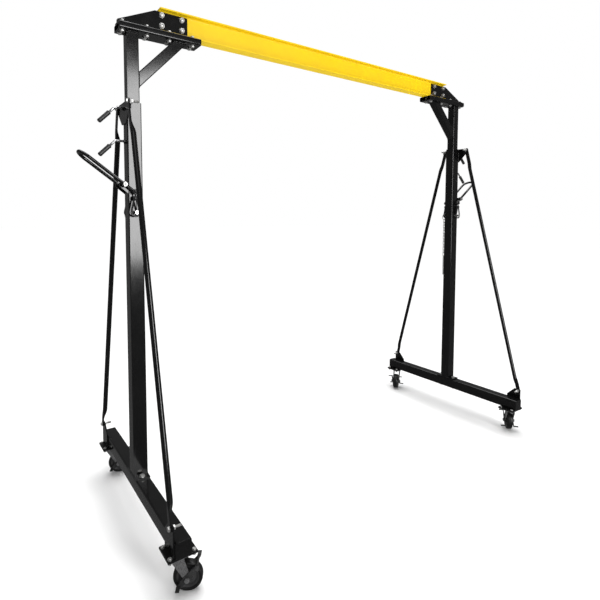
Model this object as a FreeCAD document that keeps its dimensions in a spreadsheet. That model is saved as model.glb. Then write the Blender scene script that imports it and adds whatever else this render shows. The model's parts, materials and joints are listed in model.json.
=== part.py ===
import FreeCAD, Part
import math
import os
import re
import Sketcher
from FreeCAD import Vector

# Height-adjustable portable gantry crane, in millimetres.
# +X runs along the beam to the right end frame, +Y to the far side, +Z up.
# The origin is on the floor under the middle of the beam.

SIZES = {
    # end frames
    "mast_spacing": 2170,
    "mast_size": 60,
    "mast_wall": 4,
    "mast_length": 1598,
    "foot_length": 130,
    "foot_thick": 6,
    "foot_bolt_y": 48,
    "rail_size": 60,
    "rail_wall": 3,
    "rail_length": 1040,
    "gusset_thick": 6,
    "lug_length": 84,
    "lug_setback": 8,
    "lug_shoulder": 10,
    "lug_rise": 56,
    "lug_slope": 46,
    "mount_plate_long": 110,
    "mount_plate_wide": 95,
    "mount_plate_thick": 8,
    "collar_width": 194,
    "collar_height": 88,
    "collar_skirt": 22,
    # braces
    "brace_top_y": 84,
    "brace_top_drop": 10,
    "brace_foot_y": 496,
    "brace_foot_rise": 45,
    "brace_diameter": 22,
    "brace_wall": 2,
    "brace_tab_width": 24,
    "brace_tab_thick": 6,
    "brace_tab_top": 100,
    "brace_tab_foot": 40,
    "brace_tab_lap": 12,
    # telescoping mast, beam and saddle
    "inner_size": 50,
    "inner_wall": 3,
    "inner_rest_gap": 0.3,
    "hole_pitch": 135,
    "hole_count": 9,
    "beam_underside": 2125,
    "beam_length": 1934,
    "beam_height": 100,
    "beam_width": 55,
    "beam_web": 4.1,
    "beam_flange": 5.7,
    "beam_root_radius": 7,
    "saddle_width": 90,
    "saddle_height": 28,
    "saddle_wall": 4,
    "saddle_out": 55,
    "saddle_in": 295,
    "knee_size": 45,
    "knee_wall": 3,
    "knee_drop": 189,
    "knee_reach": 180,
    "plate_thick": 6,
    "plate_height": 88,
    "plate_flat_end": 100,
    "plate_inner_end": 245,
    "plate_outer_height": 16,
    "plate_foot_width": 60,
    "plate_foot_in": 110,
    "plate_lift": 13,
    "web_bolt_out": 129,
    "web_bolt_pitch": 90,
    "web_bolt_low": 30,
    "web_bolt_rise": 44,
    "clamp_bolt_y": 19,
    "clamp_bolt_out": 40,
    "clamp_bolt_in": 61,
    "flange_bolt_out": 158,
    "flange_bolt_in": 263,
    # fasteners
    "bolt_small": 8,
    "bolt_medium": 10,
    "bolt_large": 12,
    "bolt_clearance": 0.2,
    "brace_bolt_tail": 24,
    # jack lever, hooks and lift pin
    "lever_pivot_out": 47,
    "lever_pivot_height": 1469,
    "lever_rest_angle": 37,
    "lever_arm": 49,
    "lever_reach": 207,
    "lever_bar": 14,
    "lever_gap": 2,
    "lever_eye": 24,
    "ear_thick": 6,
    "ear_reach": 66,
    "ear_rise": 8,
    "ear_drop": 37,
    "bracket_bush": 18,
    "hook_bar": 8,
    "hook_radius": 17,
    "hook_neck": 27,
    "hook_eye": 22,
    "hook_knuckle": 20,
    "hook_pin_sink": 1,
    "hook_side_gap": 0.4,
    "rivet": 8,
    "rivet_head": 14,
    "rivet_head_thick": 3,
    "lift_pin": 12,
    "lift_pin_out": 4,
    "lift_pin_height": 1354,
    "lift_travel": 60,
    "lift_pin_head": 18,
    "lift_slot_play": 0.5,
    # locking pins
    "lock_pin": 10,
    "upper_pin_drop": 24,
    "lock_tip_gap": 0.3,
    "lock_bend_out": 65,
    "lock_bend_radius": 14,
    "lock_handle_angle": 45,
    "lock_handle_length": 86,
    "boss_diameter": 20,
    "boss_length": 6,
    "grip_diameter": 16,
    "grip_length": 60,
    # tether chain and its pin
    "chain_wire": 4,
    "chain_radius": 6,
    "chain_straight": 12,
    "chain_links": 13,
    "chain_ring_radius": 19,
    "chain_play": 0.4,
    "tether_pin_length": 128,
    "tether_pin_side": 10,
    "tab_thick": 4,
    "tab_length": 14,
    "tab_shoulder": 5,
    # casters
    "caster_height": 143,
    "caster_inset": 52,
    "caster_plate_long": 106,
    "caster_plate_wide": 90,
    "caster_plate_thick": 3,
    "caster_bolt_x": 45,
    "caster_bolt_y": 36,
    "race_diameter": 56,
    "race_height": 7,
    "king_pin": 12,
    "crown_diameter": 60,
    "crown_thick": 4,
    "wheel_diameter": 106,
    "wheel_width": 32,
    "hub_diameter": 34,
    "hub_width": 38,
    "wheel_trail": 34,
    "fork_leg_thick": 3,
    "fork_gap": 40,
    "fork_foot_radius": 13,
    "axle": 10,
    "pedal_thick": 3,
    "pedal_tread": 26,
    "pedal_tread_width": 14,
    "pedal_bar": 6,
    "running_gap": 0.05,
    "free_gap": 0.3,
}

SIDES = {"left": -1, "right": 1}
CASTER_YAW = {"left_near": -31, "left_far": -26, "right_near": 42, "right_far": 212}

doc = FreeCAD.newDocument("gantry_crane")
sheet = doc.addObject("Spreadsheet::Sheet", "Sizes")
for row, (alias, value) in enumerate(SIZES.items(), start=1):
    sheet.set(f"A{row}", alias)
    sheet.set(f"B{row}", str(value))
    sheet.setAlias(f"B{row}", alias)
doc.recompute()

ALONG_X = ((0, 1, 0), 90)
ALONG_Y = ((1, 0, 0), -90)
ALONG_Z = ((0, 0, 1), 0)

# drill depths, each longer than any wall or stack that it goes through
SHORT_DRILL = "20"
DRILL = "60"
LONG_DRILL = "100"

# proportions of a hexagon bolt and its nut, to the thread's diameter
ACROSS_FLATS = 1.6
NUT_DEPTH = 0.8
HEAD_DEPTH = 0.65
SHANK_PAST_GRIP = 0.9

# the tyre's two outer edges, by their number on the cylinder, and their radius
TYRE_RIMS = (1, 3)
TYRE_ROUND = 6

# places that several sub-parts share, for the right end frame
mast_x = "(mast_spacing / 2)"
face_x = f"({mast_x} + mast_size / 2)"
rail_bottom = "(caster_height + mount_plate_thick)"
rail_top = f"({rail_bottom} + rail_size)"
mast_top = f"({rail_top} + mast_length)"
saddle_bottom = "(beam_underside - saddle_height)"
collar_face_x = f"({face_x} + gusset_thick)"
upper_pin_z = f"({mast_top} - upper_pin_drop)"
lower_pin_z = f"({upper_pin_z} - hole_pitch)"
lever_x = f"({mast_x} + lever_pivot_out)"
lever_y = "(mast_size / 2 + lever_gap + lever_bar / 2)"
hook_y = f"({lever_y} + lever_bar / 2 + hook_side_gap + hook_bar / 2)"
hook_x = f"({lever_x} - lever_arm * cos(lever_rest_angle))"
hook_z = "(lever_pivot_height - lever_arm * sin(lever_rest_angle))"
lift_x = f"({mast_x} + lift_pin_out)"
ring_y = f"({hook_y} + hook_bar / 2 + hook_side_gap + chain_wire / 2)"
caster_y = "(rail_length / 2 - caster_inset)"
brace_x = f"({face_x} + gusset_thick + brace_tab_thick / 2)"
brace_top_z = f"({mast_top} - brace_top_drop)"
brace_foot_z = f"({rail_top} + brace_foot_rise)"
brace_run = "(brace_foot_y - brace_top_y)"
brace_climb = f"({brace_top_z} - {brace_foot_z})"
brace_length = f"sqrt({brace_run} ^ 2 + {brace_climb} ^ 2)"
axle_z = "(wheel_diameter / 2)"


def formula(text):
    """Turn a formula over the size names into a FreeCAD expression."""
    return re.sub(r"[a-z_]+", lambda m: f"Sizes.{m[0]}" if m[0] in SIZES else m[0], str(text))


def bind(item, **formulas):
    for name, text in formulas.items():
        item.setExpression(name, formula(text))
    return item


def place(item, spot, turn=ALONG_Z):
    """Put an item at a spot, turned about an axis by an angle in degrees."""
    where = "; ".join(formula(part) for part in spot)
    axis = "; ".join(str(part) for part in turn[0])
    rotation = f"rotation(vector({axis}); {formula(turn[1])})"
    item.setExpression("Placement", f"placement(vector({where}); {rotation})")
    return item


def box(centre, size):
    item = bind(doc.addObject("Part::Box", "box"), Length=size[0], Width=size[1], Height=size[2])
    return place(item, [f"{spot} - ({span}) / 2" for spot, span in zip(centre, size)])


def rod(start, diameter, length, turn=ALONG_Z):
    item = bind(doc.addObject("Part::Cylinder", "rod"), Radius=f"({diameter}) / 2", Height=length)
    return place(item, start, turn)


def centred_rod(centre, diameter, length, turn):
    """A rod whose middle is at centre, along X, Y or Z."""
    spot = list(centre)
    axis = (ALONG_X, ALONG_Y, ALONG_Z).index(turn)
    spot[axis] = f"{spot[axis]} - ({length}) / 2"
    return rod(spot, diameter, length, turn)


def arc(centre, ring_radius, wire, sweep, turn):
    """Part of a ring: it starts on its own X axis and turns about its own Z axis."""
    item = bind(doc.addObject("Part::Torus", "arc"), Radius1=ring_radius, Radius2=f"({wire}) / 2",
                Angle3=sweep)
    return place(item, centre, turn)


def fuse(parts):
    item = doc.addObject("Part::MultiFuse", "fuse")
    item.Shapes = parts
    return item


def cut(base, tools):
    item = doc.addObject("Part::Cut", "cut")
    item.Base = base
    item.Tool = tools[0] if len(tools) == 1 else fuse(tools)
    return item


def group(parts):
    item = doc.addObject("Part::Compound", "group")
    item.Links = parts
    return item


def mirror(source, normal):
    item = doc.addObject("Part::Mirroring", "mirror")
    item.Source = source
    item.Normal = Vector(*normal)
    return item


def outline(body, plane, points):
    """A closed sketch whose corners are bound to formulas in the plane's own two axes."""
    sketch = body.newObject("Sketcher::SketchObject", "outline")
    base = [item for item in body.Origin.OriginFeatures if item.Role == plane][0]
    sketch.AttachmentSupport = [(base, "")]
    sketch.MapMode = "FlatFace"
    count = len(points)
    start = [Vector(math.cos(2 * math.pi * i / count), math.sin(2 * math.pi * i / count), 0)
             for i in range(count)]
    for i in range(count):
        sketch.addGeometry(Part.LineSegment(start[i] * 10, start[(i + 1) % count] * 10), False)
    for i in range(count):
        sketch.addConstraint(Sketcher.Constraint("Coincident", i, 2, (i + 1) % count, 1))
    for i, corner in enumerate(points):
        for kind, text in zip(("DistanceX", "DistanceY"), corner):
            index = sketch.addConstraint(Sketcher.Constraint(kind, -1, 1, i, 1, 1.0))
            sketch.setExpression(f"Constraints[{index}]", formula(text))
    return sketch


def slab(plane, points, thickness, spot=("0", "0", "0"), hollow=None):
    """A padded outline, centred on its plane. hollow is an inner outline and its thickness."""
    body = doc.addObject("PartDesign::Body", "slab")
    pad = body.newObject("PartDesign::Pad", "pad")
    pad.Profile = outline(body, plane, points)
    pad.Midplane = True
    bind(pad, Length=thickness)
    if hollow:
        pocket = body.newObject("PartDesign::Pocket", "pocket")
        pocket.Profile = outline(body, plane, hollow[0])
        pocket.Midplane = True
        bind(pocket, Length=hollow[1])
    return place(body, spot)


def hexagon(spot, across_flats, height, turn):
    item = doc.addObject("Part::Prism", "hexagon")
    item.Polygon = 6
    bind(item, Circumradius=f"({across_flats}) / 1.732", Height=height)
    return place(item, spot, turn)


def bolt(low, grip, size, turn, tail="1"):
    """A tightened bolt with its nut: low is where its grip starts, on the nut's side."""
    axis = (ALONG_X, ALONG_Y, ALONG_Z).index(turn)
    nut, head, tip = list(low), list(low), list(low)
    nut[axis] = f"{low[axis]} - {NUT_DEPTH} * {size}"
    head[axis] = f"{low[axis]} + ({grip})"
    tip[axis] = f"{nut[axis]} - {tail}"
    shank = rod(tip, size, f"({grip}) + {tail} + {SHANK_PAST_GRIP} * {size}", turn)
    flats = f"{ACROSS_FLATS} * {size}"
    return fuse([shank, hexagon(nut, flats, f"{NUT_DEPTH} * {size}", turn),
                 hexagon(head, flats, f"{HEAD_DEPTH} * {size}", turn)])


def drill(centre, size, depth, turn):
    return centred_rod(centre, f"{size} + 2 * bolt_clearance", depth, turn)


def base_rail():
    centre = (mast_x, "0", f"{rail_bottom} + rail_size / 2")
    outer = box(centre, ("rail_size", "rail_length", "rail_size"))
    bore = "rail_size - 2 * rail_wall"
    inner = box(centre, (bore, "rail_length - 2 * rail_wall", bore))
    holes = [drill((mast_x, f"{side} * foot_bolt_y", centre[2]), "bolt_large", "2 * rail_size", ALONG_Z)
             for side in (-1, 1)]
    return cut(outer, [inner] + holes)


def base_plates():
    """Welded plates of one base rail: a caster plate under each end and a brace lug beside it."""
    parts = []
    for side in (-1, 1):
        plate_z = "caster_height + mount_plate_thick / 2"
        plate = box((mast_x, f"{side} * {caster_y}", plate_z),
                    ("mount_plate_long", "mount_plate_wide", "mount_plate_thick"))
        parts.append(cut(plate, caster_plate_holes(side, plate_z)))
        end = "(rail_length / 2 - lug_setback)"
        start = f"({end} - lug_length)"
        profile = [(start, "0"), (start, "rail_size + lug_shoulder"),
                   (f"{start} + lug_slope", "rail_size + lug_rise"),
                   (end, "rail_size + lug_rise"), (end, "0")]
        profile = [(f"{side} * ({along})", up) for along, up in profile]
        lug = slab("YZ_Plane", profile, "gusset_thick", (f"{face_x} + gusset_thick / 2", "0", rail_bottom))
        hole = drill((face_x, f"{side} * brace_foot_y", brace_foot_z), "bolt_medium", DRILL, ALONG_X)
        parts.append(cut(lug, [hole]))
    return group(parts)


def caster_bolt_spots(side):
    return [(f"{mast_x} + {i} * caster_bolt_x", f"{side} * {caster_y} + {j} * caster_bolt_y")
            for i in (-1, 1) for j in (-1, 1)]


def caster_plate_holes(side, height):
    return [drill((x, y, height), "bolt_small", DRILL, ALONG_Z) for x, y in caster_bolt_spots(side)]


def lower_mast():
    middle = f"{rail_top} + mast_length / 2"
    outer = box((mast_x, "0", middle), ("mast_size", "mast_size", "mast_length"))
    foot = box((mast_x, "0", f"{rail_top} + foot_thick / 2"), ("mast_size", "foot_length", "foot_thick"))
    boss = rod((face_x, "0", lower_pin_z), "boss_diameter", "boss_length", ALONG_X)
    bore = "mast_size - 2 * mast_wall"
    inner = box((mast_x, "0", f"{middle} + foot_thick"), (bore, bore, "mast_length"))
    pin_hole = "lock_pin + 2 * running_gap"
    cuts = [inner]
    for height in (upper_pin_z, lower_pin_z):
        cuts.append(rod((mast_x, "0", height), pin_hole, "mast_size", ALONG_X))
    for side in (-1, 1):
        cuts.append(drill((mast_x, f"{side} * foot_bolt_y", rail_top), "bolt_large", DRILL, ALONG_Z))
    slot = "(lift_pin + 2 * lift_slot_play)"
    cuts.append(box((lift_x, "0", "lift_pin_height + lift_travel / 2"), (slot, "2 * mast_size", "lift_travel")))
    for height in ("lift_pin_height", "lift_pin_height + lift_travel"):
        cuts.append(centred_rod((lift_x, "0", height), slot, "2 * mast_size", ALONG_Y))
    return cut(fuse([outer, foot, boss]), cuts)


def collar_plate():
    half, neck = "(collar_width / 2)", "(mast_size / 2)"
    profile = [(f"-{half}", "0"), (f"-{half}", "-collar_skirt"), (f"-{neck}", "-collar_height"),
               (neck, "-collar_height"), (half, "-collar_skirt"), (half, "0")]
    plate = slab("YZ_Plane", profile, "gusset_thick", (f"{face_x} + gusset_thick / 2", "0", mast_top))
    boss = rod((collar_face_x, "0", upper_pin_z), "boss_diameter", "boss_length", ALONG_X)
    holes = [rod((face_x, "0", upper_pin_z), "lock_pin + 2 * running_gap", DRILL, ALONG_X)]
    for side in (-1, 1):
        holes.append(drill((face_x, f"{side} * brace_top_y", brace_top_z), "bolt_medium", DRILL, ALONG_X))
    return cut(fuse([plate, boss]), holes)


def brace():
    """The near brace, built upright from its foot pivot and then leaned towards the mast."""
    tab = ("brace_tab_thick", "brace_tab_width")
    reach = {"foot": "(brace_tab_foot + brace_tab_lap)", "top": "(brace_tab_top + brace_tab_lap)"}
    foot = box(("0", "0", f"{reach['foot']} / 2"), (*tab, reach["foot"]))
    top = box(("0", "0", f"{brace_length} - {reach['top']} / 2"), (*tab, reach["top"]))
    ends = [centred_rod(("0", "0", height), "brace_tab_width", "brace_tab_thick", ALONG_X)
            for height in ("0", brace_length)]
    length = f"{brace_length} - brace_tab_top - brace_tab_foot"
    start = ("(brace_tab_thick - brace_diameter) / 2", "0", "brace_tab_foot")
    tube = cut(rod(start, "brace_diameter", length),
               [rod(start, "brace_diameter - 2 * brace_wall", length)])
    holes = [drill(("0", "0", height), "bolt_medium", DRILL, ALONG_X) for height in ("0", brace_length)]
    leaned = cut(fuse([foot, top, tube] + ends), holes)
    lean = f"-atan({brace_run} / {brace_climb})"
    return place(leaned, (brace_x, "-brace_foot_y", brace_foot_z), ((1, 0, 0), lean))


def frame_bolts():
    """All the fixed fasteners of one end frame."""
    parts = []
    for side in (-1, 1):
        parts.append(bolt([mast_x, f"{side} * foot_bolt_y", rail_bottom],
                          "rail_size + foot_thick", "bolt_large", ALONG_Z))
        for y, z in (("brace_foot_y", brace_foot_z), ("brace_top_y", brace_top_z)):
            parts.append(bolt([face_x, f"{side} * {y}", z], "gusset_thick + brace_tab_thick",
                              "bolt_medium", ALONG_X, "brace_bolt_tail"))
        for x, y in caster_bolt_spots(side):
            parts.append(bolt([x, y, "caster_height - caster_plate_thick"],
                              "caster_plate_thick + mount_plate_thick", "bolt_small", ALONG_Z))
    reach = f"({lever_y} + lever_bar / 2 + free_gap)"
    parts.append(bolt([lever_x, f"-{reach}", "lever_pivot_height"], f"2 * {reach}", "bolt_medium", ALONG_Y))
    return group(parts)


def lever_bracket():
    """Two ears on the mast's outer face, joined by a bush that the pivot bolt runs through."""
    outer, root = "(ear_reach - mast_size / 2)", "0"
    profile = [(root, "ear_rise"), (f"{outer} - ear_rise / 2", "ear_rise"), (outer, "ear_rise / 2"),
               (outer, "-ear_rise"), (root, "-ear_drop")]
    parts = [rod((lever_x, "-mast_size / 2", "lever_pivot_height"), "bracket_bush", "mast_size", ALONG_Y)]
    for side in (-1, 1):
        spot = (face_x, f"{side} * (mast_size - ear_thick) / 2", "lever_pivot_height")
        parts.append(slab("XZ_Plane", profile, "ear_thick", spot))
    hole = centred_rod((lever_x, "0", "lever_pivot_height"), "bolt_medium + 2 * running_gap",
                       "2 * mast_size", ALONG_Y)
    return cut(fuse(parts), [hole])


def jack_lever():
    """A round bar bent into a U that straddles the mast, with its pivot at the local origin."""
    straight = f"(lever_reach - {lever_y})"
    parts = [arc((straight, "0", "0"), lever_y, "lever_bar", "180", ((0, 0, 1), -90))]
    holes = []
    for side in (-1, 1):
        y = f"{side} * {lever_y}"
        parts.append(rod(("-lever_arm", y, "0"), "lever_bar", f"lever_arm + {straight}", ALONG_X))
        parts.append(centred_rod(("0", y, "0"), "lever_eye", "lever_bar", ALONG_Y))
        parts.append(centred_rod(("-lever_arm", y, "0"), "hook_eye", "lever_bar", ALONG_Y))
        neck = "(lever_bar + hook_bar + 2 * hook_side_gap + chain_wire / 2)"
        start = f"{lever_y} - lever_bar / 2"
        pin = [("-lever_arm", start, "rivet", neck),
               ("-lever_arm", f"{start} + {neck}", "rivet_head", "rivet_head_thick")]
        for x, low, size, length in pin:
            low = low if side > 0 else f"-({low}) - {length}"
            parts.append(rod((x, low, "0"), size, length, ALONG_Y))
        holes.append(centred_rod(("0", y, "0"), "bolt_medium + 2 * running_gap", "2 * lever_bar", ALONG_Y))
    lever = cut(fuse(parts), holes)
    return place(lever, (lever_x, "0", "lever_pivot_height"), ((0, 1, 0), "-lever_rest_angle"))


def hook_bow(drop):
    """The hook's bent bar: two legs that start side by side under the eye and meet in a bowl."""
    radius, wire, apex = sheet.hook_radius, sheet.hook_bar, sheet.hook_neck
    offset = wire * 0.6
    reach = math.hypot(offset, drop - apex)
    flare = math.asin(radius / reach) - math.atan2(offset, drop - apex)
    side_x, side_z = radius * math.cos(flare), radius * math.sin(flare) - drop
    bottom = Vector(0, 0, -drop - radius)
    left, right = Vector(-side_x, 0, side_z), Vector(side_x, 0, side_z)
    start, end = Vector(-offset, 0, -apex), Vector(offset, 0, -apex)
    path = Part.Wire([Part.LineSegment(start, left).toShape(), Part.Arc(left, bottom, right).toShape(),
                      Part.LineSegment(right, end).toShape()])
    section = Part.Wire(Part.Circle(start, left - start, wire / 2).toShape())
    bow = doc.addObject("Part::Feature", "bow")
    bow.Shape = path.makePipeShell([section], True, False)
    return bow


def lift_hook(side):
    """A teardrop hook with an eye on the lever's end and its bowl around the lift pin."""
    tilt = math.radians(sheet.lever_rest_angle)
    eye_height = sheet.lever_pivot_height - sheet.lever_arm * math.sin(tilt)
    eye = cut(centred_rod(("0", "0", "0"), "hook_eye", "hook_bar", ALONG_Y),
              [centred_rod(("0", "0", "0"), "rivet + 2 * running_gap", "2 * hook_bar", ALONG_Y)])
    neck = rod(("0", "0", "-hook_neck"), "hook_bar - 1", "hook_neck - hook_eye / 2 + 1")
    knuckle = centred_rod(("0", "0", "-hook_neck"), "hook_knuckle", "hook_bar + 1", ALONG_Y)
    parts = [eye, neck, knuckle, hook_bow(eye_height - sheet.lift_pin_height - sheet.hook_pin_sink)]
    return place(fuse(parts), (hook_x, f"{side} * {hook_y}", hook_z))


def lift_pin():
    """The lift pin's two ends: each runs in a slot of the mast and carries a hook."""
    parts = []
    inner = "(inner_size / 2 + 0.5)"
    length = f"({ring_y} + chain_wire / 2 + hook_side_gap - {inner})"
    for side in (-1, 1):
        for start, size, run in ((inner, "lift_pin", length),
                                 (f"({inner} + {length})", "lift_pin_head", "rivet_head_thick")):
            y = start if side > 0 else f"-{start} - {run}"
            parts.append(rod((lift_x, y, "lift_pin_height"), size, run, ALONG_Y))
    return group([fuse(parts[:2]), fuse(parts[2:])])


def lock_pin(height):
    """A round pin through the mast wall, bent down outside into its handle."""
    tip = f"({mast_x} + inner_size / 2 + lock_tip_gap)"
    bend = f"({mast_x} + lock_bend_out)"
    parts = [rod((tip, "0", height), "lock_pin", f"{bend} - {tip}", ALONG_X)]
    elbow = arc(("0", "0", "0"), "lock_bend_radius", "lock_pin", "lock_handle_angle", ((1, 0, 0), 90))
    parts.append(place(group([elbow]), (bend, "0", f"{height} - lock_bend_radius"),
                       ((0, 1, 0), "-90 + lock_handle_angle")))
    start = handle_start(height)
    parts.append(rod(start, "lock_pin", "lock_handle_length - 4", ((0, 1, 0), "90 + lock_handle_angle")))
    return fuse(parts)


def handle_start(height):
    run = "lock_bend_radius * sin(lock_handle_angle)"
    fall = "lock_bend_radius * (1 - cos(lock_handle_angle))"
    return (f"{mast_x} + lock_bend_out + {run}", "0", f"{height} - {fall}")


def lock_grip(height):
    """A rubber sleeve, closed at its end, pushed over the end of the handle."""
    along = "(lock_handle_length - grip_length)"
    x, y, z = handle_start(height)
    spot = (f"{x} + {along} * cos(lock_handle_angle)", y, f"{z} - {along} * sin(lock_handle_angle)")
    turn = ((0, 1, 0), "90 + lock_handle_angle")
    sleeve = rod(spot, "grip_diameter", "grip_length", turn)
    return cut(sleeve, [rod(spot, "lock_pin", "grip_length - 4", turn)])


def chain_link(height, turned):
    """A stadium-shaped link that hangs in a vertical plane; every other link is turned."""
    parts = []
    for sign in (-1, 1):
        parts.append(arc(("0", "0", f"{sign} * chain_straight / 2"), "chain_radius", "chain_wire", "180",
                         ((1, 0, 0), 90 * sign)))
        parts.append(rod((f"{sign} * chain_radius", "0", "-chain_straight / 2"), "chain_wire",
                         "chain_straight"))
    return place(fuse(parts), (lift_x, ring_y, height), ((0, 0, 1), 90 if turned else 0))


def tether_pin():
    """A spare pin that hangs on a short chain from the far end of the lift pin."""
    ring_z = "(lift_pin_height - (chain_ring_radius - (lift_pin + chain_wire) / 2) + free_gap)"
    parts = [arc((lift_x, ring_y, ring_z), "chain_ring_radius", "chain_wire", "360", ((1, 0, 0), 90))]
    link_half = "(chain_straight / 2 + chain_radius)"
    pitch = "(chain_straight + 2 * chain_radius - chain_wire - chain_play)"
    first = f"({ring_z} - chain_ring_radius - {link_half} + chain_wire + chain_play)"
    count = SIZES["chain_links"]
    parts += [chain_link(f"{first} - {i} * {pitch}", i % 2 == 0) for i in range(count)]
    hole_z = f"({first} - {count - 1} * {pitch} - {link_half} - chain_wire / 4 + chain_play)"
    tab = box((lift_x, ring_y, f"{hole_z} - tab_length / 4"), ("tether_pin_side", "tab_thick", "tab_length"))
    hole = centred_rod((lift_x, ring_y, hole_z), "chain_wire * 1.5", DRILL, ALONG_Y)
    body = rod((lift_x, ring_y, f"{hole_z} - tab_shoulder - tether_pin_length"), "tether_pin_side",
               "tether_pin_length")
    parts.append(fuse([cut(tab, [hole]), body]))
    return group(parts)


def upper_mast():
    bottom = f"({rail_top} + foot_thick + inner_rest_gap)"
    length = f"({saddle_bottom} - {bottom})"
    middle = f"{bottom} + {length} / 2"
    bore = "inner_size - 2 * inner_wall"
    outer = box((mast_x, "0", middle), ("inner_size", "inner_size", length))
    cuts = [box((mast_x, "0", middle), (bore, bore, f"{length} + 2"))]
    for i in range(SIZES["hole_count"]):
        cuts.append(rod((mast_x, "0", f"{upper_pin_z} - {i} * hole_pitch"), "lock_pin + 4 * free_gap",
                        "inner_size", ALONG_X))
    return cut(outer, cuts)


def knee_brace():
    """A sloping square tube from the upper mast to the underside of the saddle."""
    slope = "(knee_drop / knee_reach)"

    def profile(width):
        rise = f"({width} / 2 * sqrt(1 + {slope} ^ 2))"
        run = f"({rise} / {slope})"
        return [("0", f"-knee_drop - {rise}"), ("0", f"{rise} - knee_drop"),
                (f"{run} - knee_reach", "0"), (f"-knee_reach - {run}", "0")]

    bore = "(knee_size - 2 * knee_wall)"
    spot = (f"{mast_x} - inner_size / 2", "0", saddle_bottom)
    return slab("XZ_Plane", profile("knee_size"), "knee_size", spot, (profile(bore), bore))


def saddle_bolt_spots():
    """X and Y of the bolts through the saddle: by the mast and through the beam's flange."""
    outs = {"foot": ("clamp_bolt_out", "-clamp_bolt_in"), "flange": ("-flange_bolt_out", "-flange_bolt_in")}
    return {name: [(f"{mast_x} + {x}", f"{side} * clamp_bolt_y") for x in pair for side in (-1, 1)]
            for name, pair in outs.items()}


def saddle():
    """A flat rectangular tube that lies across the mast's top and carries the beam's end."""
    centre = (f"{mast_x} + (saddle_out - saddle_in) / 2", "0", f"{saddle_bottom} + saddle_height / 2")
    size = ("saddle_out + saddle_in", "saddle_width", "saddle_height")
    bore = (f"{size[0]} + 2", "saddle_width - 2 * saddle_wall", "saddle_height - 2 * saddle_wall")
    holes = [drill((x, y, saddle_bottom), "bolt_medium", "4 * saddle_height", ALONG_Z)
             for spots in saddle_bolt_spots().values() for x, y in spots]
    return cut(box(centre, size), [box(centre, bore)] + holes)


def web_bolt_spots():
    return [(f"{mast_x} - web_bolt_out - {i} * web_bolt_pitch",
             f"beam_underside + web_bolt_low + {j} * web_bolt_rise") for i in (0, 1) for j in (0, 1)]


def beam_shoe():
    """A welded shoe: two uprights that clasp the beam's web, and their foot on the saddle."""
    heel = "-plate_foot_in"
    profile = [("-plate_inner_end", "plate_lift"), ("-plate_inner_end", "plate_height"),
               ("-plate_flat_end", "plate_height"), ("saddle_out", "plate_outer_height"),
               ("saddle_out", "0"), (heel, "0"), (heel, "plate_lift")]
    foot = box((f"{mast_x} + (saddle_out - plate_foot_in) / 2", "0", "beam_underside + plate_thick / 2"),
               ("saddle_out + plate_foot_in", "plate_foot_width", "plate_thick"))
    parts = [foot]
    for side in (-1, 1):
        offset = f"{side} * (beam_web + plate_thick) / 2"
        parts.append(slab("XZ_Plane", profile, "plate_thick", (mast_x, offset, "beam_underside")))
    holes = [drill((x, "0", z), "bolt_large", LONG_DRILL, ALONG_Y) for x, z in web_bolt_spots()]
    holes += [drill((x, y, "beam_underside"), "bolt_medium", DRILL, ALONG_Z)
              for x, y in saddle_bolt_spots()["foot"]]
    return cut(fuse(parts), holes)


def top_bolts():
    parts = []
    spots = saddle_bolt_spots()
    for name, top in (("foot", "plate_thick"), ("flange", "beam_flange")):
        grip = f"saddle_height + {top}"
        parts += [bolt([x, y, saddle_bottom], grip, "bolt_medium", ALONG_Z) for x, y in spots[name]]
    width = "(beam_web + 2 * plate_thick)"
    for x, z in web_bolt_spots():
        parts.append(bolt([x, f"-{width} / 2", z], width, "bolt_large", ALONG_Y))
    return group(parts)


def beam():
    """The I-section runway beam, drilled for the side plates and the saddles."""
    tip, web = "(beam_width / 2)", "(beam_web / 2)"
    top, low, high = "beam_height", "beam_flange", "(beam_height - beam_flange)"
    half = [(tip, "0"), (tip, low), (web, low), (web, high), (tip, high), (tip, top)]
    profile = half + [(f"-{y}", z) for y, z in reversed(half)]
    body = slab("YZ_Plane", profile, "beam_length", ("0", "0", "beam_underside"))
    doc.recompute()
    names = []
    for index, edge in enumerate(body.Shape.Edges, start=1):
        centre = edge.BoundBox.Center
        inside = abs(centre.y) < SIZES["beam_web"]
        if inside and edge.BoundBox.XLength > SIZES["beam_length"] / 2:
            names.append(f"Edge{index}")
    pad = body.Tip
    fillet = body.newObject("PartDesign::Fillet", "roots")
    fillet.Base = (pad, names)
    bind(fillet, Radius="beam_root_radius")
    body.Tip = fillet
    holes = []
    for side in (-1, 1):
        for x, z in web_bolt_spots():
            holes.append(drill((f"{side} * ({x})", "0", z), "bolt_large", LONG_DRILL, ALONG_Y))
        for x, y in saddle_bolt_spots()["flange"]:
            holes.append(drill((f"{side} * ({x})", y, "beam_underside"), "bolt_medium", DRILL, ALONG_Z))
    return cut(body, holes)


def swivel_plate(side):
    """A caster's fixed top plate with its bearing race and king pin."""
    x, y = mast_x, f"{side} * {caster_y}"
    plate = box((x, y, "caster_height - caster_plate_thick / 2"),
                ("caster_plate_long", "caster_plate_wide", "caster_plate_thick"))
    under = "caster_height - caster_plate_thick"
    race = rod((x, y, f"{under} - race_height"), "race_diameter", "race_height")
    pin_length = "(race_height + crown_thick + 2 * free_gap)"
    pin = rod((x, y, f"{under} - {pin_length}"), "king_pin", pin_length)
    rim = rod((x, y, f"{under} - {pin_length} - 3"), "1.8 * king_pin", "3")
    return cut(fuse([plate, race, pin, rim]), caster_plate_holes(side, "caster_height"))


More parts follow.
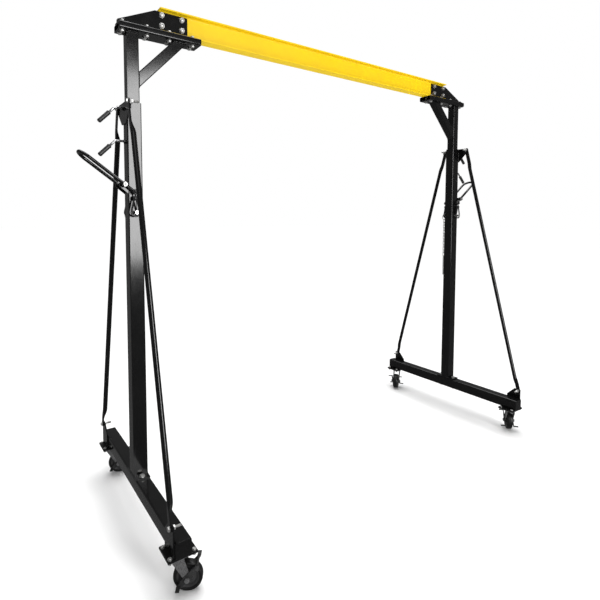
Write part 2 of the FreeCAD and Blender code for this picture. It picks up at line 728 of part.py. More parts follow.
def caster_fork():
    """A swivelling fork with its axle bolt; the wheel trails towards local +X."""
    top = "(caster_height - caster_plate_thick - race_height - free_gap)"
    floor = f"({top} - crown_thick)"
    crown = rod(("0", "0", floor), "crown_diameter", "crown_thick")
    width = "(fork_gap + 2 * fork_leg_thick)"
    bridge = box(("0", "0", f"{floor} + crown_thick / 2"), ("crown_diameter * 0.8", width, "crown_thick"))
    lead, trail = "-crown_diameter * 0.4", "crown_diameter * 0.4"
    profile = [(lead, top), (lead, f"{floor} - 10"), ("wheel_trail - fork_foot_radius", axle_z),
               ("wheel_trail + fork_foot_radius", axle_z), (trail, f"{floor} - 6"), (trail, top)]
    parts = [crown, bridge]
    for side in (-1, 1):
        y = f"{side} * (fork_gap + fork_leg_thick) / 2"
        parts.append(slab("XZ_Plane", profile, "fork_leg_thick", ("0", y, "0")))
        parts.append(centred_rod(("wheel_trail", y, axle_z), "2 * fork_foot_radius", "fork_leg_thick", ALONG_Y))
    holes = [rod(("0", "0", floor), "king_pin + 2 * running_gap", SHORT_DRILL),
             centred_rod(("wheel_trail", "0", axle_z), "axle", LONG_DRILL, ALONG_Y)]
    grip = f"({width} + 2 * pedal_thick + 4 * free_gap)"
    axle_bolt = bolt(["wheel_trail", f"-{grip} / 2", axle_z], grip, "axle", ALONG_Y)
    return group([cut(fuse(parts), holes), axle_bolt])


def caster_wheel():
    centre = ("wheel_trail", "0", axle_z)
    tyre = centred_rod(centre, "wheel_diameter", "wheel_width", ALONG_Y)
    hub = centred_rod(centre, "hub_diameter", "hub_width", ALONG_Y)
    tyre_round = doc.addObject("Part::Fillet", "tread")
    tyre_round.Base = tyre
    tyre_round.Edges = [(rim, TYRE_ROUND, TYRE_ROUND) for rim in TYRE_RIMS]
    return cut(fuse([tyre_round, hub]),
               [centred_rod(centre, "axle + 2 * running_gap", "2 * hub_width", ALONG_Y)])


def brake_pedal():
    """A rocker about the axle: a cheek on each side of the fork, joined by a bar over the wheel."""
    y = "(fork_gap / 2 + fork_leg_thick + free_gap + pedal_thick / 2)"
    bar_x, bar_z = "(wheel_trail + wheel_diameter * 0.34)", f"({axle_z} + wheel_diameter * 0.46)"
    low_x, low_z = "(wheel_trail - wheel_diameter * 0.3)", f"({axle_z} - wheel_diameter * 0.24)"
    half = "(pedal_tread_width / 2)"
    profile = [(f"{low_x} - {half}", low_z), (low_x, f"{low_z} - {half}"),
               (f"wheel_trail + fork_foot_radius", f"{axle_z} - 4"),
               (f"{bar_x} + {half}", bar_z), (bar_x, f"{bar_z} + {half}"),
               (f"wheel_trail - fork_foot_radius", f"{axle_z} + 8")]
    parts = [rod((bar_x, f"-{y}", bar_z), "pedal_bar", f"2 * {y}", ALONG_Y)]
    for side in (-1, 1):
        parts.append(slab("XZ_Plane", profile, "pedal_thick", ("0", f"{side} * {y}", "0")))
        tread_y = f"{side} * ({y} + pedal_tread / 2)"
        for x, z in ((low_x, low_z), (bar_x, bar_z)):
            parts.append(box((x, tread_y, z), ("pedal_tread_width", "pedal_tread", "pedal_thick")))
    hole = centred_rod(("wheel_trail", "0", axle_z), "axle + 2 * running_gap", LONG_DRILL, ALONG_Y)
    return cut(fuse(parts), [hole])


nodes = {}


def add_node(name, item):
    item.Label = name
    nodes[name] = item


def end_frames():
    """Every sub-part of the right end frame, and its mirror image on the left."""
    near_brace = brace()
    makers = {
        "base_rail": base_rail(), "base_plates": base_plates(), "lower_mast": lower_mast(),
        "collar_plate": collar_plate(), "brace_near": near_brace,
        "brace_far": mirror(near_brace, (0, 1, 0)), "frame_bolts": frame_bolts(),
        "lever_bracket": lever_bracket(), "jack_lever": jack_lever(),
        "lift_hooks": group([lift_hook(-1), lift_hook(1)]), "lift_pin": lift_pin(),
        "upper_lock_pin": lock_pin(upper_pin_z), "upper_lock_grip": lock_grip(upper_pin_z),
        "lower_lock_pin": lock_pin(lower_pin_z), "lower_lock_grip": lock_grip(lower_pin_z),
        "tether_pin": tether_pin(), "upper_mast": upper_mast(), "knee_brace": knee_brace(),
        "saddle": saddle(), "beam_shoe": beam_shoe(), "top_bolts": top_bolts(),
    }
    for name, item in makers.items():
        add_node(f"{name}_right", item)
        add_node(f"{name}_left", mirror(item, (1, 0, 0)))


def casters():
    """Four casters, each parked with its own swivel angle."""
    for corner, yaw in CASTER_YAW.items():
        side_name, end_name = corner.split("_")
        end = -1 if end_name == "near" else 1
        fixed = swivel_plate(end)
        if side_name == "left":
            fixed = mirror(fixed, (1, 0, 0))
        add_node(f"caster_plate_{corner}", fixed)
        spot = (f"{SIDES[side_name]} * {mast_x}", f"{end} * {caster_y}", "0")
        for name, maker in (("fork", caster_fork), ("wheel", caster_wheel), ("pedal", brake_pedal)):
            moving = group([maker()])
            add_node(f"caster_{name}_{corner}", place(moving, spot, ((0, 0, 1), yaw)))


add_node("beam", beam())
end_frames()
casters()
doc.recompute()

failed = [item.Label for item in doc.Objects if "Invalid" in item.State or "Error" in item.State]
if failed:
    raise RuntimeError(f"these objects failed: {failed}")
for name, item in nodes.items():
    if item.Shape.isNull() or not item.Shape.isValid():
        raise RuntimeError(f"{name} has no valid shape")

os.makedirs("parts", exist_ok=True)
for name, item in nodes.items():
    item.Shape.exportStep(f"parts/{name}.step")
print(len(nodes), "sub-parts written")
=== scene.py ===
"""Looks of the portable gantry crane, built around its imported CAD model. Metres, Z up."""
import json
import math

import bmesh
import bpy
from mathutils import Matrix, Vector


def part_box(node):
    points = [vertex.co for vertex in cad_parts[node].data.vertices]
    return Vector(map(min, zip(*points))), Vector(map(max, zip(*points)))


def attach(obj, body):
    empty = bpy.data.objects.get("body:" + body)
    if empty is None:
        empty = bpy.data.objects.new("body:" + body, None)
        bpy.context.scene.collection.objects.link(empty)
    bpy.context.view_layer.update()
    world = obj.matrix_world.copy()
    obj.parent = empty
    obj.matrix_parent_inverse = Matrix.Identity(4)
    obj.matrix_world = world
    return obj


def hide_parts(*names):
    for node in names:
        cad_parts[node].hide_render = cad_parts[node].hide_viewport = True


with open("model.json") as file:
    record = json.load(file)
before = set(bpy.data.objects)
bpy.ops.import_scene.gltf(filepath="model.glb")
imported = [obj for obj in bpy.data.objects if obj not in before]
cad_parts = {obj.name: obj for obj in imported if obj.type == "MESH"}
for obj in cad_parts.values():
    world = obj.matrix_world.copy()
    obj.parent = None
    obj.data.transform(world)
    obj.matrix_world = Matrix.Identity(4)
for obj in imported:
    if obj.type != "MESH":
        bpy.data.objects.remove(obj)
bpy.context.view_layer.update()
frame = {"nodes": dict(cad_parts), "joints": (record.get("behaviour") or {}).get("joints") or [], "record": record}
nodes = frame["nodes"]
joints = {joint["name"]: joint for joint in frame["joints"]}
body_of = {node: body for body, members in frame["record"]["behaviour"]["bodies"].items()
           for node in members}
slot_of = {part["node"]: part["material_slot"] for part in frame["record"]["subparts"]}
SIDES = {"left": -1, "right": 1}
ENDS = {"near": -1, "far": 1}
MM = 0.001

# smooth shading runs over an edge up to this many degrees
PLATE_ANGLE = 32
HUB_ANGLE = 35
GRIP_ANGLE = 45
SHELL_ANGLE = 50
BEAD_ANGLE = 60
ROD_ANGLE = 65


# ---------------------------------------------------------------- materials

class Surface:
    """A node material with a Principled shader and helpers that feed it from noise."""

    def __init__(self, name, color, roughness, metallic=0.0):
        self.material = bpy.data.materials.new(name)
        self.material.use_nodes = True
        self.tree = self.material.node_tree
        self.shader = self.tree.nodes["Principled BSDF"]
        self.shader.inputs["Base Color"].default_value = (*color, 1)
        self.shader.inputs["Roughness"].default_value = roughness
        self.shader.inputs["Metallic"].default_value = metallic
        self.coords = self.tree.nodes.new("ShaderNodeTexCoord").outputs["Object"]
        self.normal = None

    def node(self, kind, values):
        """Add a node and set its inputs."""
        item = self.tree.nodes.new(kind)
        for name, value in values.items():
            item.inputs[name].default_value = value
        return item

    def noise(self, scale, detail, rough=0.5):
        item = self.node("ShaderNodeTexNoise", {"Scale": scale, "Detail": detail, "Roughness": rough})
        self.tree.links.new(self.coords, item.inputs["Vector"])
        return item.outputs["Fac"]

    def tint(self, value, low, high, first, second):
        """Colour the surface from first to second as value goes from low to high."""
        ramp = self.tree.nodes.new("ShaderNodeValToRGB")
        for stop, position, color in zip(ramp.color_ramp.elements, (low, high), (first, second)):
            stop.position = position
            stop.color = (*color, 1)
        self.tree.links.new(value, ramp.inputs["Fac"])
        self.tree.links.new(ramp.outputs["Color"], self.shader.inputs["Base Color"])

    def gloss(self, value, smooth, rough):
        """Vary the roughness with the middle part of a noise."""
        spread = self.node("ShaderNodeMapRange", {"From Min": 0.3, "From Max": 0.7,
                                                  "To Min": smooth, "To Max": rough})
        self.tree.links.new(value, spread.inputs["Value"])
        self.tree.links.new(spread.outputs["Result"], self.shader.inputs["Roughness"])

    def bump(self, value, depth, strength=1.0):
        """Add relief on top of any that the surface has already."""
        item = self.node("ShaderNodeBump", {"Strength": strength, "Distance": depth})
        self.tree.links.new(value, item.inputs["Height"])
        if self.normal:
            self.tree.links.new(self.normal, item.inputs["Normal"])
        self.normal = item.outputs["Normal"]
        self.tree.links.new(self.normal, self.shader.inputs["Normal"])


def painted(name, color, worn, roughness, peel, shine=0.5):
    """Sprayed paint: slow tone drift, duller patches and orange peel."""
    surface = Surface(name, color, roughness)
    surface.tint(surface.noise(7, 5, 0.65), 0.35, 0.75, color, worn)
    surface.gloss(surface.noise(14, 6, 0.7), roughness * 0.85, roughness * 1.25)
    surface.bump(surface.noise(420, 2), peel)
    surface.bump(surface.noise(45, 2), peel * 1.5, 0.4)
    surface.shader.inputs["Specular IOR Level"].default_value = shine
    return surface.material


def plated(name, color, dull, roughness, metallic):
    """Bright or zinc plated steel with a blotchy tone and a fine grain."""
    surface = Surface(name, color, roughness, metallic)
    surface.tint(surface.noise(110, 4, 0.6), 0.3, 0.7, color, dull)
    surface.gloss(surface.noise(240, 3), roughness * 0.8, roughness * 1.35)
    surface.bump(surface.noise(900, 2), 0.04 * MM)
    return surface.material


def moulded(name, color, pale, roughness, grain, scale):
    """Rubber, plastic or dull wire with a fine grain and a dusty bloom."""
    surface = Surface(name, color, roughness)
    surface.tint(surface.noise(35, 6, 0.7), 0.4, 0.8, color, pale)
    surface.gloss(surface.noise(60, 4), roughness * 0.85, roughness * 1.2)
    surface.bump(surface.noise(scale, 2), grain)
    return surface.material


# the maker of each look, then its main colour, second colour, roughness and the maker's own values
LOOKS = {
    "black_paint": (painted, (0.0028, 0.0028, 0.003), (0.0045, 0.0045, 0.0045), 0.125, 0.008 * MM, 0.4),
    "yellow_paint": (painted, (0.78, 0.54, 0.003), (0.72, 0.49, 0.004), 0.42, 0.02 * MM, 0.3),
    "hook_paint": (painted, (0.012, 0.012, 0.013), (0.03, 0.03, 0.03), 0.3, 0.02 * MM, 0.6),
    "zinc": (plated, (0.56, 0.56, 0.55), (0.40, 0.40, 0.39), 0.28, 0.75),
    "caster_zinc": (plated, (0.20, 0.20, 0.20), (0.12, 0.12, 0.123), 0.28, 0.45),
    "pedal_steel": (painted, (0.016, 0.016, 0.016), (0.04, 0.04, 0.04), 0.25, 0.03 * MM),
    "pin_chrome": (plated, (0.58, 0.58, 0.59), (0.48, 0.48, 0.49), 0.16, 0.9),
    "chain_steel": (moulded, (0.50, 0.50, 0.49), (0.62, 0.62, 0.60), 0.3, 0.03 * MM, 900),
    "grip_rubber": (moulded, (0.012, 0.012, 0.012), (0.02, 0.02, 0.02), 0.38, 0.06 * MM, 900),
    "wheel_rubber": (moulded, (0.004, 0.004, 0.004), (0.009, 0.009, 0.0088), 0.36, 0.06 * MM, 700),
    # the caster hub's own dark grey is darkened further here, as painted shade for the shade it lies in under the
    # fork
    "wheel_rim": (moulded, (0.03, 0.03, 0.031), (0.05, 0.05, 0.05), 0.36, 0.06 * MM, 800),
}
MATERIALS = {name: make(name, *values) for name, (make, *values) in LOOKS.items()}


# ---------------------------------------------------------------- mesh helpers

def add_piece(name, shape, material, body, smooth_angle):
    """Turn a bmesh into an object that rides on a body."""
    mesh = bpy.data.meshes.new(name)
    for face in shape.faces:
        face.smooth = True
    shape.to_mesh(mesh)
    shape.free()
    mesh.set_sharp_from_angle(angle=math.radians(smooth_angle))
    mesh.materials.append(MATERIALS[material])
    piece = bpy.data.objects.new(name, mesh)
    bpy.context.scene.collection.objects.link(piece)
    if smooth_angle < BEAD_ANGLE:
        # keeps the flat faces between rounded corners looking flat
        shading = piece.modifiers.new("shading", "WEIGHTED_NORMAL")
        shading.keep_sharp = True
    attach(piece, body)
    return piece


def stand_in(node, shape, smooth_angle, name=None, material=None):
    """Add a piece that takes a CAD node's place, on its body and in its slot."""
    slot = slot_of[node]
    piece = add_piece(name or f"{node}_fine", shape, material or slot, body_of[node],
                      smooth_angle)
    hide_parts(node)


FLAT_BEND = math.radians(0.8)  # faces that bend less than this count as one flat face


def node_shape(node, merge_flats=True):
    """A CAD node's mesh as a bmesh, with each flat face in one piece if asked."""
    shape = bmesh.new()
    shape.from_mesh(nodes[node].data)
    bmesh.ops.remove_doubles(shape, verts=shape.verts, dist=MM / 1000)
    if merge_flats:
        bmesh.ops.dissolve_limit(shape, angle_limit=FLAT_BEND, verts=shape.verts, edges=shape.edges)
    return shape


def round_edges(shape, edges, width, segments):
    if edges:
        bmesh.ops.bevel(shape, geom=edges, offset=width, offset_type="OFFSET", segments=segments,
                        profile=0.5, affect="EDGES", clamp_overlap=True)


LONG_EDGE = 150 * MM
CORNER_BEND = math.radians(60)
SHARP_BEND = math.radians(38)


def refine(node, edge, corner):
    """Show a CAD node with its long corners rounded and its sharp edges eased."""
    shape = node_shape(node, merge_flats=edge > 0)
    if corner:
        long_edges = [item for item in shape.edges if item.is_manifold and item.calc_length() > LONG_EDGE
                      and item.calc_face_angle_signed(0) > CORNER_BEND]
        round_edges(shape, long_edges, corner, 4)
    if edge:
        sharp = [item for item in shape.edges if item.is_manifold and item.calc_face_angle(0) > SHARP_BEND]
        round_edges(shape, sharp, edge, 2)
    stand_in(node, shape, PLATE_ANGLE if edge else ROD_ANGLE)


def islands(node):
    """The separate solids of a node, each as a list of its corner points."""
    shape = node_shape(node)
    left = set(shape.verts)
    found = []
    for first in shape.verts:
        if first not in left:
            continue
        left.remove(first)
        stack = [first]
        group = []
        while stack:
            vert = stack.pop()
            group.append(vert.co.copy())
            for item in vert.link_edges:
                other = item.other_vert(vert)
                if other in left:
                    left.remove(other)
                    stack.append(other)
        found.append(group)
    shape.free()
    return found


def span(points):
    """Lowest and highest corner of some points."""
    low = Vector([min(p[i] for p in points) for i in range(3)])
    high = Vector([max(p[i] for p in points) for i in range(3)])
    return low, high


def along_axis(centre, axis):
    """The placement that takes the origin to a centre and +Z to an axis."""
    turn = Vector((0, 0, 1)).rotation_difference(Vector(axis)).to_matrix().to_4x4()
    return Matrix.Translation(centre) @ turn


def lathe(shape, profile, centre, axis, steps):
    """Add a turned form from (radius, height) pairs.

    A radius of 0 is a point on the axis. A last pair equal to the first closes the form into a ring.
    """
    place = along_axis(centre, axis)
    rings = []
    for radius, height in profile:
        ring = []
        for i in range(steps if radius else 1):
            angle = 2 * math.pi * i / steps
            spot = Vector((radius * math.cos(angle), radius * math.sin(angle), height))
            ring.append(shape.verts.new(place @ spot))
        rings.append(ring)
    for first, second in zip(rings, rings[1:]):
        for i in range(steps):
            j = (i + 1) % steps
            corners = [first[i % len(first)], first[j % len(first)],
                       second[j % len(second)], second[i % len(second)]]
            unique = list(dict.fromkeys(corners))
            if len(unique) > 2:
                shape.faces.new(unique)
    if profile[0] == profile[-1]:
        bmesh.ops.remove_doubles(shape, verts=rings[0] + rings[-1], dist=1e-7)


def skin(shape, rings):
    """Join rings of equal count with quads and close both ends."""
    count = len(rings[0])
    for first, second in zip(rings, rings[1:]):
        for i in range(count):
            j = (i + 1) % count
            shape.faces.new([first[i], first[j], second[j], second[i]])
    shape.faces.new(list(reversed(rings[0])))
    shape.faces.new(rings[-1])


# ---------------------------------------------------------------- camera, floor, lights

def add_object(name, data):
    item = bpy.data.objects.new(name, data)
    bpy.context.scene.collection.objects.link(item)
    return item


def add_camera():
    camera = add_object("camera", bpy.data.cameras.new("camera"))
    camera.location = (-1.6541, -1.9867, 1.3286)
    camera.rotation_euler = [math.radians(angle) for angle in (90 - 3.449, -0.1345, -34.99)]
    camera.data.lens = 27.48
    camera.data.shift_x = 0.0129
    camera.data.shift_y = -0.0892
    bpy.context.scene.camera = camera
    bpy.context.scene.view_settings.view_transform = "Standard"


def add_floor():
    """A wide pale floor that is left out of reflections, so that black paint stays black."""
    half = 60
    mesh = bpy.data.meshes.new("floor")
    corners = [(-half, -half, 0), (half, -half, 0), (half, half, 0), (-half, half, 0)]
    mesh.from_pydata(corners, [], [(0, 1, 2, 3)])
    floor = add_object("floor", mesh)
    surface = Surface("pale_floor", (0.93, 0.93, 0.93), 0.7)
    surface.gloss(surface.noise(3, 3), 0.65, 0.8)
    mesh.materials.append(surface.material)
    floor.visible_glossy = False


def add_world():
    """A white background that lights the object only faintly."""
    world = bpy.data.worlds.new("studio")
    bpy.context.scene.world = world
    world.use_nodes = True
    tree = world.node_tree
    seen = tree.nodes.new("ShaderNodeBackground")
    glow = tree.nodes["Background"]
    for background, strength in ((seen, 1.0), (glow, 0.15)):
        background.inputs["Color"].default_value = (1, 1, 1, 1)
        background.inputs["Strength"].default_value = strength
    path = tree.nodes.new("ShaderNodeLightPath")
    mix = tree.nodes.new("ShaderNodeMixShader")
    tree.links.new(path.outputs["Is Camera Ray"], mix.inputs["Fac"])
    tree.links.new(glow.outputs["Background"], mix.inputs[1])
    tree.links.new(seen.outputs["Background"], mix.inputs[2])
    tree.links.new(mix.outputs["Shader"], tree.nodes["World Output"].inputs["Surface"])


def area_light(name, location, target, width, height, watts):
    light = bpy.data.lights.new(name, "AREA")
    light.shape = "RECTANGLE"
    light.size = width
    light.size_y = height
    light.energy = watts
    item = add_object(name, light)
    item.location = location
    item.rotation_euler = (Vector(target) - Vector(location)).to_track_quat("-Z", "Y").to_euler()


def add_sun():
    """Even light from above with a soft shadow."""
    sun = add_object("sun", bpy.data.lights.new("sun", "SUN"))
    sun.data.energy = 3.3
    sun.data.angle = math.radians(60)
    sun.rotation_euler = [math.radians(angle) for angle in (-12, 8, 0)]


add_camera()
add_floor()
add_world()
area_light("key", (-2.5, -5.0, 7.0), (0, 0, 1.5), 4, 4, 60)
# the tall panel is what shines in the near face of the left mast
area_light("strip", (0.65, -6.0, 2.2), (0.65, 0, 2.2), 1.6, 3.2, 250)
add_sun()


# ---------------------------------------------------------------- nodes shown with finer edges

# eased edge and rounded long corner, by the node's name without its side; 0 leaves bent rods as they are
FINISH = {
    "beam": (1.0 * MM, 0),
    "base_rail": (0.6 * MM, 6 * MM),
    "base_plates": (0.8 * MM, 0),
    "lower_mast": (0.5 * MM, 5 * MM),
    "collar_plate": (0.8 * MM, 0),
    "lever_bracket": (0.7 * MM, 0),
    "jack_lever": (0, 0),
    "lift_hooks": (0, 0),
    "lift_pin": (0.6 * MM, 0),
    "upper_lock_pin": (0, 0),
    "lower_lock_pin": (0, 0),
    "tether_pin": (0, 0),
    "upper_mast": (0.4 * MM, 4 * MM),
    "knee_brace": (0.5 * MM, 4 * MM),
    "saddle": (0.6 * MM, 6 * MM),
    "beam_shoe": (0.8 * MM, 0),
    "caster_plate": (0.5 * MM, 0),
    "caster_fork": (0.5 * MM, 0),
    "caster_pedal": (0.6 * MM, 0),
}

for node in nodes:
    kind = node.split("_left")[0].split("_right")[0]
    if kind in FINISH:
        refine(node, *FINISH[kind])


# ---------------------------------------------------------------- bolts

ACROSS_FLATS = 1.6  # hexagon's width to the thread's diameter
THREAD_PITCH = 1.5 * MM
THREAD_ROOT = 0.88  # to the thread's radius
WASHER_REACH = 2.0  # to the thread's radius


def hexagon(shape, centre, axis, flats, low, high):
    """Add a hexagon head or nut with both ends turned down to a chamfer."""
    points = 24
    corner = flats / math.sqrt(3)
    face_reach = flats * 0.47
    chamfer = flats * 0.06
    place = along_axis(centre, axis)

    def reach(angle, is_turned):
        if is_turned:
            return face_reach
        return corner * math.cos(math.pi / 6) / math.cos(angle % (math.pi / 3) - math.pi / 6)

    rings = []
    for height, is_turned in ((low, True), (low + chamfer, False), (high - chamfer, False), (high, True)):
        ring = []
        for i in range(points):
            angle = 2 * math.pi * i / points
            out = reach(angle, is_turned)
            spot = Vector((out * math.cos(angle), out * math.sin(angle), height))
            ring.append(shape.verts.new(place @ spot))
        rings.append(ring)
    skin(shape, rings)


def thread(radius, low, high):
    """Profile of a threaded rod end, as a stack of ridges."""
    root = radius * THREAD_ROOT
    count = max(1, round((high - low) / THREAD_PITCH))
    step = (high - low) / count
    profile = []
    for i in range(count):
        profile += [(root, low + i * step), (radius, low + (i + 0.5) * step)]
    return profile + [(root, high)]


def bolt(shape, points):
    """Add one chamfered, washered and threaded bolt in the place of a plain one."""
    low, high = span(points)
    size = high - low
    axis = max(range(3), key=lambda i: size[i])
    across = [i for i in range(3) if i != axis]
    flats = min(size[i] for i in across)
    radius = flats / ACROSS_FLATS / 2
    centre = (low + high) / 2
    wide = [p[axis] for p in points if math.hypot(*(p[i] - centre[i] for i in across)) > radius * 1.3]
    # the threaded tail stands out past the nut, which tells the nut from the head
    way = 1.0 if min(wide) - low[axis] > high[axis] - max(wide) else -1.0
    levels = sorted({round(way * height, 5) for height in wide})
    nut_low, nut_high, head_low, head_high = levels[0], levels[1], levels[-2], levels[-1]
    tip = min(way * low[axis], way * high[axis])
    base = centre.copy()
    base[axis] = 0
    direction = Vector([way if i == axis else 0.0 for i in range(3)])

    shank = [(0, tip), (radius * 0.7, tip)]
    shank += thread(radius, tip + radius * 0.1, nut_low + radius * 0.2)
    shank += [(radius, nut_low + radius * 0.3), (radius, head_low), (0, head_low)]
    lathe(shape, shank, base, direction, 28)

    washer = radius * 0.28
    hexagon(shape, base, direction, flats, nut_low, nut_high - washer)
    hexagon(shape, base, direction, flats, head_low + washer, head_high)
    rim = radius * WASHER_REACH
    face = rim - radius * 0.05
    for start in (nut_high - washer, head_low):
        stop = start + washer
        ring = [(0, start), (face, start), (rim, start + washer / 2), (face, stop), (0, stop)]
        lathe(shape, ring, base, direction, 32)


def bolt_piece(node):
    shape = bmesh.new()
    for points in islands(node):
        bolt(shape, points)
    stand_in(node, shape, PLATE_ANGLE)


for side in SIDES:
    bolt_piece(f"frame_bolts_{side}")
    bolt_piece(f"top_bolts_{side}")


# ---------------------------------------------------------------- braces: tubes pressed flat at their ends

TAB_THICK_HALF = 3 * MM
TAB_WIDTH_HALF = 12 * MM
TAB_TIP_HALF = 0.8 * MM
TUBE_RADIUS = 11 * MM
FLAT_FOOT = 34 * MM
FLAT_TOP = 85 * MM
FLAT_EASE = 55 * MM


def brace_ends(side, end):
    """Centres of the bolts at a brace's foot and top."""
    spots = []
    for low, high in [span(points) for points in islands(f"frame_bolts_{side}")]:
        size = high - low
        if size.x > max(size.y, size.z) and (low.y + high.y) * ENDS[end] > 0:
            spots.append((low + high) / 2)
    return sorted(spots, key=lambda spot: spot.z)


def brace_stations(length):
    """Distances from the foot bolt at which the brace's section is drawn."""
    quarter = [math.pi * i / 16 for i in range(9)]
    eighths = [i / 8 for i in range(9)]
    stations = [-TAB_WIDTH_HALF * math.cos(angle) for angle in quarter]
    stations += [FLAT_FOOT + FLAT_EASE * part for part in eighths]
    stations += [length - FLAT_TOP - FLAT_EASE * (1 - part) for part in eighths]
    stations += [length + TAB_WIDTH_HALF * math.sin(angle) for angle in quarter]
    return stations


def brace_section(distance, length):
    """Half width, half thickness and roundness (0 flat to 1 round) of the brace at a distance."""
    blend = min((distance - FLAT_FOOT) / FLAT_EASE, (length - FLAT_TOP - distance) / FLAT_EASE)
    blend = min(1.0, max(0.0, blend))
    blend = blend * blend * (3 - 2 * blend)
    half_width = TAB_WIDTH_HALF + (TUBE_RADIUS - TAB_WIDTH_HALF) * blend
    past = max(-distance, distance - length)
    if past > 0:
        half_width = math.sqrt(max(TAB_WIDTH_HALF ** 2 - past ** 2, TAB_TIP_HALF ** 2))
    return half_width, TAB_THICK_HALF + (TUBE_RADIUS - TAB_THICK_HALF) * blend, blend


def brace_piece(side, end):
    node = f"brace_{end}_{side}"
    outward = SIDES[side]
    foot, top = brace_ends(side, end)
    low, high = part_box(node)
    outer_face = high.x if outward > 0 else low.x
    foot.x = top.x = outer_face - outward * TAB_THICK_HALF
    along = (top - foot).normalized()
    across = along.cross(Vector((1, 0, 0))).normalized()
    length = (top - foot).length
    points = 32
    shape = bmesh.new()
    rings = []
    for distance in brace_stations(length):
        half_width, half_thick, blend = brace_section(distance, length)
        shift = -outward * (half_thick - TAB_THICK_HALF)
        power = 2 / (2 + 5 * (1 - blend))
        ring = []
        for i in range(points):
            cosine = math.cos(2 * math.pi * i / points)
            sine = math.sin(2 * math.pi * i / points)
            wide = math.copysign(abs(cosine) ** power, cosine) * half_width
            deep = math.copysign(abs(sine) ** power, sine) * half_thick
            spot = foot + along * distance + across * wide + Vector((deep + shift, 0, 0))
            ring.append(shape.verts.new(spot))
        rings.append(ring)
    skin(shape, rings)
    bmesh.ops.recalc_face_normals(shape, faces=shape.faces)
    stand_in(node, shape, SHELL_ANGLE)


for side in SIDES:
    for end in ENDS:
        brace_piece(side, end)


# ---------------------------------------------------------------- caster wheels

TYRE_HALF = 16 * MM
TYRE_DEPTH = 13 * MM
AXLE_BORE = 5.1 * MM
BOSS_HALF = 19 * MM
WHEEL_STEPS = 72


def mirrored(half_profile):
    """A closed profile from its one half, mirrored about height 0."""
    other_half = [(radius, -height) for radius, height in reversed(half_profile)]
    return half_profile + other_half + [half_profile[0]]


def wheel_pieces(corner):
    """The tyre and the dished hub of one caster."""
    node = f"caster_wheel_{corner}"
    roll = joints[f"caster_{corner}_roll"]
    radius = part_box(node)[1].z / 2
    rim = radius - TYRE_DEPTH
    dish = TYRE_HALF - 5 * MM
    tyre = [(rim, 3 * MM - TYRE_HALF), (rim + 2 * MM, 1 * MM - TYRE_HALF), (radius - 6 * MM, -TYRE_HALF),
            (radius - 2.5 * MM, 1.6 * MM - TYRE_HALF), (radius - 0.8 * MM, 4.5 * MM - TYRE_HALF),
            (radius, 9 * MM - TYRE_HALF)]
    hub = [(AXLE_BORE, BOSS_HALF), (13 * MM, BOSS_HALF), (15 * MM, BOSS_HALF - 1.5 * MM),
           (16.5 * MM, dish + 1 * MM), (20 * MM, dish - 4 * MM), (rim - 9 * MM, dish - 4 * MM),
           (rim - 6 * MM, dish), (rim - 1.5 * MM, TYRE_HALF - 3 * MM),
           (rim + 0.6 * MM, TYRE_HALF - 3.6 * MM)]
    for name, profile, material, angle in ((f"tyre_{corner}", tyre, "wheel_rubber", SHELL_ANGLE),
                                           (f"wheel_hub_{corner}", hub, "wheel_rim", HUB_ANGLE)):
        shape = bmesh.new()
        lathe(shape, mirrored(profile), Vector(roll["pos_m"]), Vector(roll["axis"]), WHEEL_STEPS)
        bmesh.ops.recalc_face_normals(shape, faces=shape.faces)
        stand_in(node, shape, angle, name, material)


for side in SIDES:
    for end in ENDS:
        wheel_pieces(f"{side}_{end}")


# ---------------------------------------------------------------- locking pin grips

GRIP_BORE = 5.05 * MM
GRIP_SWELL = 1.5 * MM


def grip_piece(node):
    """A dipped sleeve with a rounded end and a lip, around the handle's axis."""
    points = [vert.co.copy() for vert in nodes[node].data.vertices]
    outward = 1 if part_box(node)[0].x > 0 else -1
    axis = Vector((outward, 0, -1)).normalized()
    low, high = span(points)
    middle = (low + high) / 2
    reach = [(p - middle).dot(axis) for p in points]
    start, stop = min(reach), max(reach)
    radius = (high.y - low.y) / 2 + GRIP_SWELL
    lip = [(GRIP_BORE, start), (radius - 1.2 * MM, start), (radius, start + 1.5 * MM),
           (radius, start + 4 * MM)]
    sleeve = [(radius - 0.6 * MM, start + 5 * MM), (radius - 0.6 * MM, stop - 7 * MM)]
    nose = [(radius - 0.2 * MM, stop - 6 * MM), (radius - 1.2 * MM, stop - 2.2 * MM),
            (radius - 3.5 * MM, stop - 0.5 * MM), (0, stop)]
    shape = bmesh.new()
    lathe(shape, lip + sleeve + nose, middle, axis, 40)
    stand_in(node, shape, GRIP_ANGLE)


for side in SIDES:
    for level in ("upper", "lower"):
        grip_piece(f"{level}_lock_grip_{side}")


# ---------------------------------------------------------------- welds

BEAD = 2.2 * MM
THIN_BEAD = 1.8 * MM
THINNEST_BEAD = 1.5 * MM
RIPPLE_PITCH = 3.2 * MM
LUG_INSETS = (92 * MM, 8 * MM)  # a lug's two edges, from the rail's end
COLLAR_DEPTH = 84 * MM
KNEE_HALF_CUT = 32.6 * MM  # half the height of the knee's mitred end on the mast
KNEE_HALF_TOP = 31 * MM  # half the run of its other end on the saddle


def weld(name, corners, body, closed=True, radius=BEAD):
    """A painted weld bead with its ripples, along straight runs between corners."""
    shape = bmesh.new()
    stops = corners[1:] + corners[:1] if closed else corners[1:]
    for start, end in zip(corners, stops):
        run = Vector(end) - Vector(start)
        count = max(2, round(run.length / RIPPLE_PITCH))
        pitch = run.length / count
        profile = [(0, 0)]
        for i in range(count):
            along = pitch * (i + 0.5)
            swell = 1 + 0.12 * math.sin(i * 2.4)
            profile += [(radius * 0.82, along - pitch * 0.35), (radius * swell, along)]
        lathe(shape, profile + [(0, run.length)], Vector(start), run.normalized(), 10)
    add_piece(name, shape, "black_paint", body, BEAD_ANGLE)


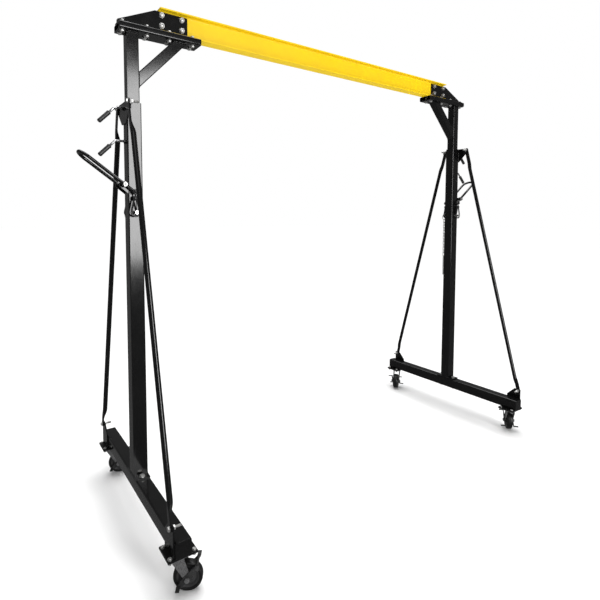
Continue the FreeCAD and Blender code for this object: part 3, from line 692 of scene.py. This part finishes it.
def rectangle(centre, half_u, half_v):
    """Four corners of a rectangle from its centre and its two half sides."""
    centre, half_u, half_v = Vector(centre), Vector(half_u), Vector(half_v)
    return [centre - half_u - half_v, centre + half_u - half_v,
            centre + half_u + half_v, centre - half_u + half_v]


def frame_welds(side):
    """Beads at the mast's foot, up both edges of each lug and down the collar."""
    body = f"{side}_frame"
    rail_low, rail_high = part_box(f"base_rail_{side}")
    mast_low, mast_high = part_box(f"lower_mast_{side}")
    mid = (rail_low.x + rail_high.x) / 2
    half = (rail_high.x - rail_low.x) / 2
    face = mid + SIDES[side] * half
    foot_top = mast_low.z + 6 * MM
    weld(f"weld_foot_{side}", rectangle((mid, 0, foot_top), (half, 0, 0), (0, half, 0)), body)
    for end, way in ENDS.items():
        for inset in LUG_INSETS:
            edge = rail_high.y - inset
            run = [(face, way * edge, rail_low.z + 6 * MM), (face, way * edge, rail_high.z - 5 * MM)]
            weld(f"weld_lug_{end}_{side}_{round(edge / MM)}", run, body, False, THIN_BEAD)
    for way in ENDS.values():
        y = way * half * 0.93
        run = [(face, y, mast_high.z - COLLAR_DEPTH), (face, y, mast_high.z - 2 * MM)]
        weld(f"weld_collar_{side}_{way}", run, body, False, THINNEST_BEAD)


def portal_welds(side):
    """Beads round the upper mast's top and both ends of the knee brace."""
    out = SIDES[side]
    low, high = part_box(f"upper_mast_{side}")
    mid = (low.x + high.x) / 2
    half = (high.x - low.x) / 2
    weld(f"weld_mast_top_{side}", rectangle((mid, 0, high.z), (half, 0, 0), (0, half, 0)), "portal")
    knee_low, knee_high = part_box(f"knee_brace_{side}")
    width = (knee_high.y - knee_low.y) / 2
    on_mast = (mid - out * half, 0, knee_low.z + KNEE_HALF_CUT)
    weld(f"weld_knee_mast_{side}", rectangle(on_mast, (0, width, 0), (0, 0, KNEE_HALF_CUT)), "portal")
    inner = knee_low.x if out > 0 else knee_high.x
    on_saddle = (inner + out * KNEE_HALF_TOP, 0, knee_high.z)
    weld(f"weld_knee_saddle_{side}", rectangle(on_saddle, (KNEE_HALF_TOP, 0, 0), (0, width, 0)), "portal")


for side in SIDES:
    frame_welds(side)
    portal_welds(side)
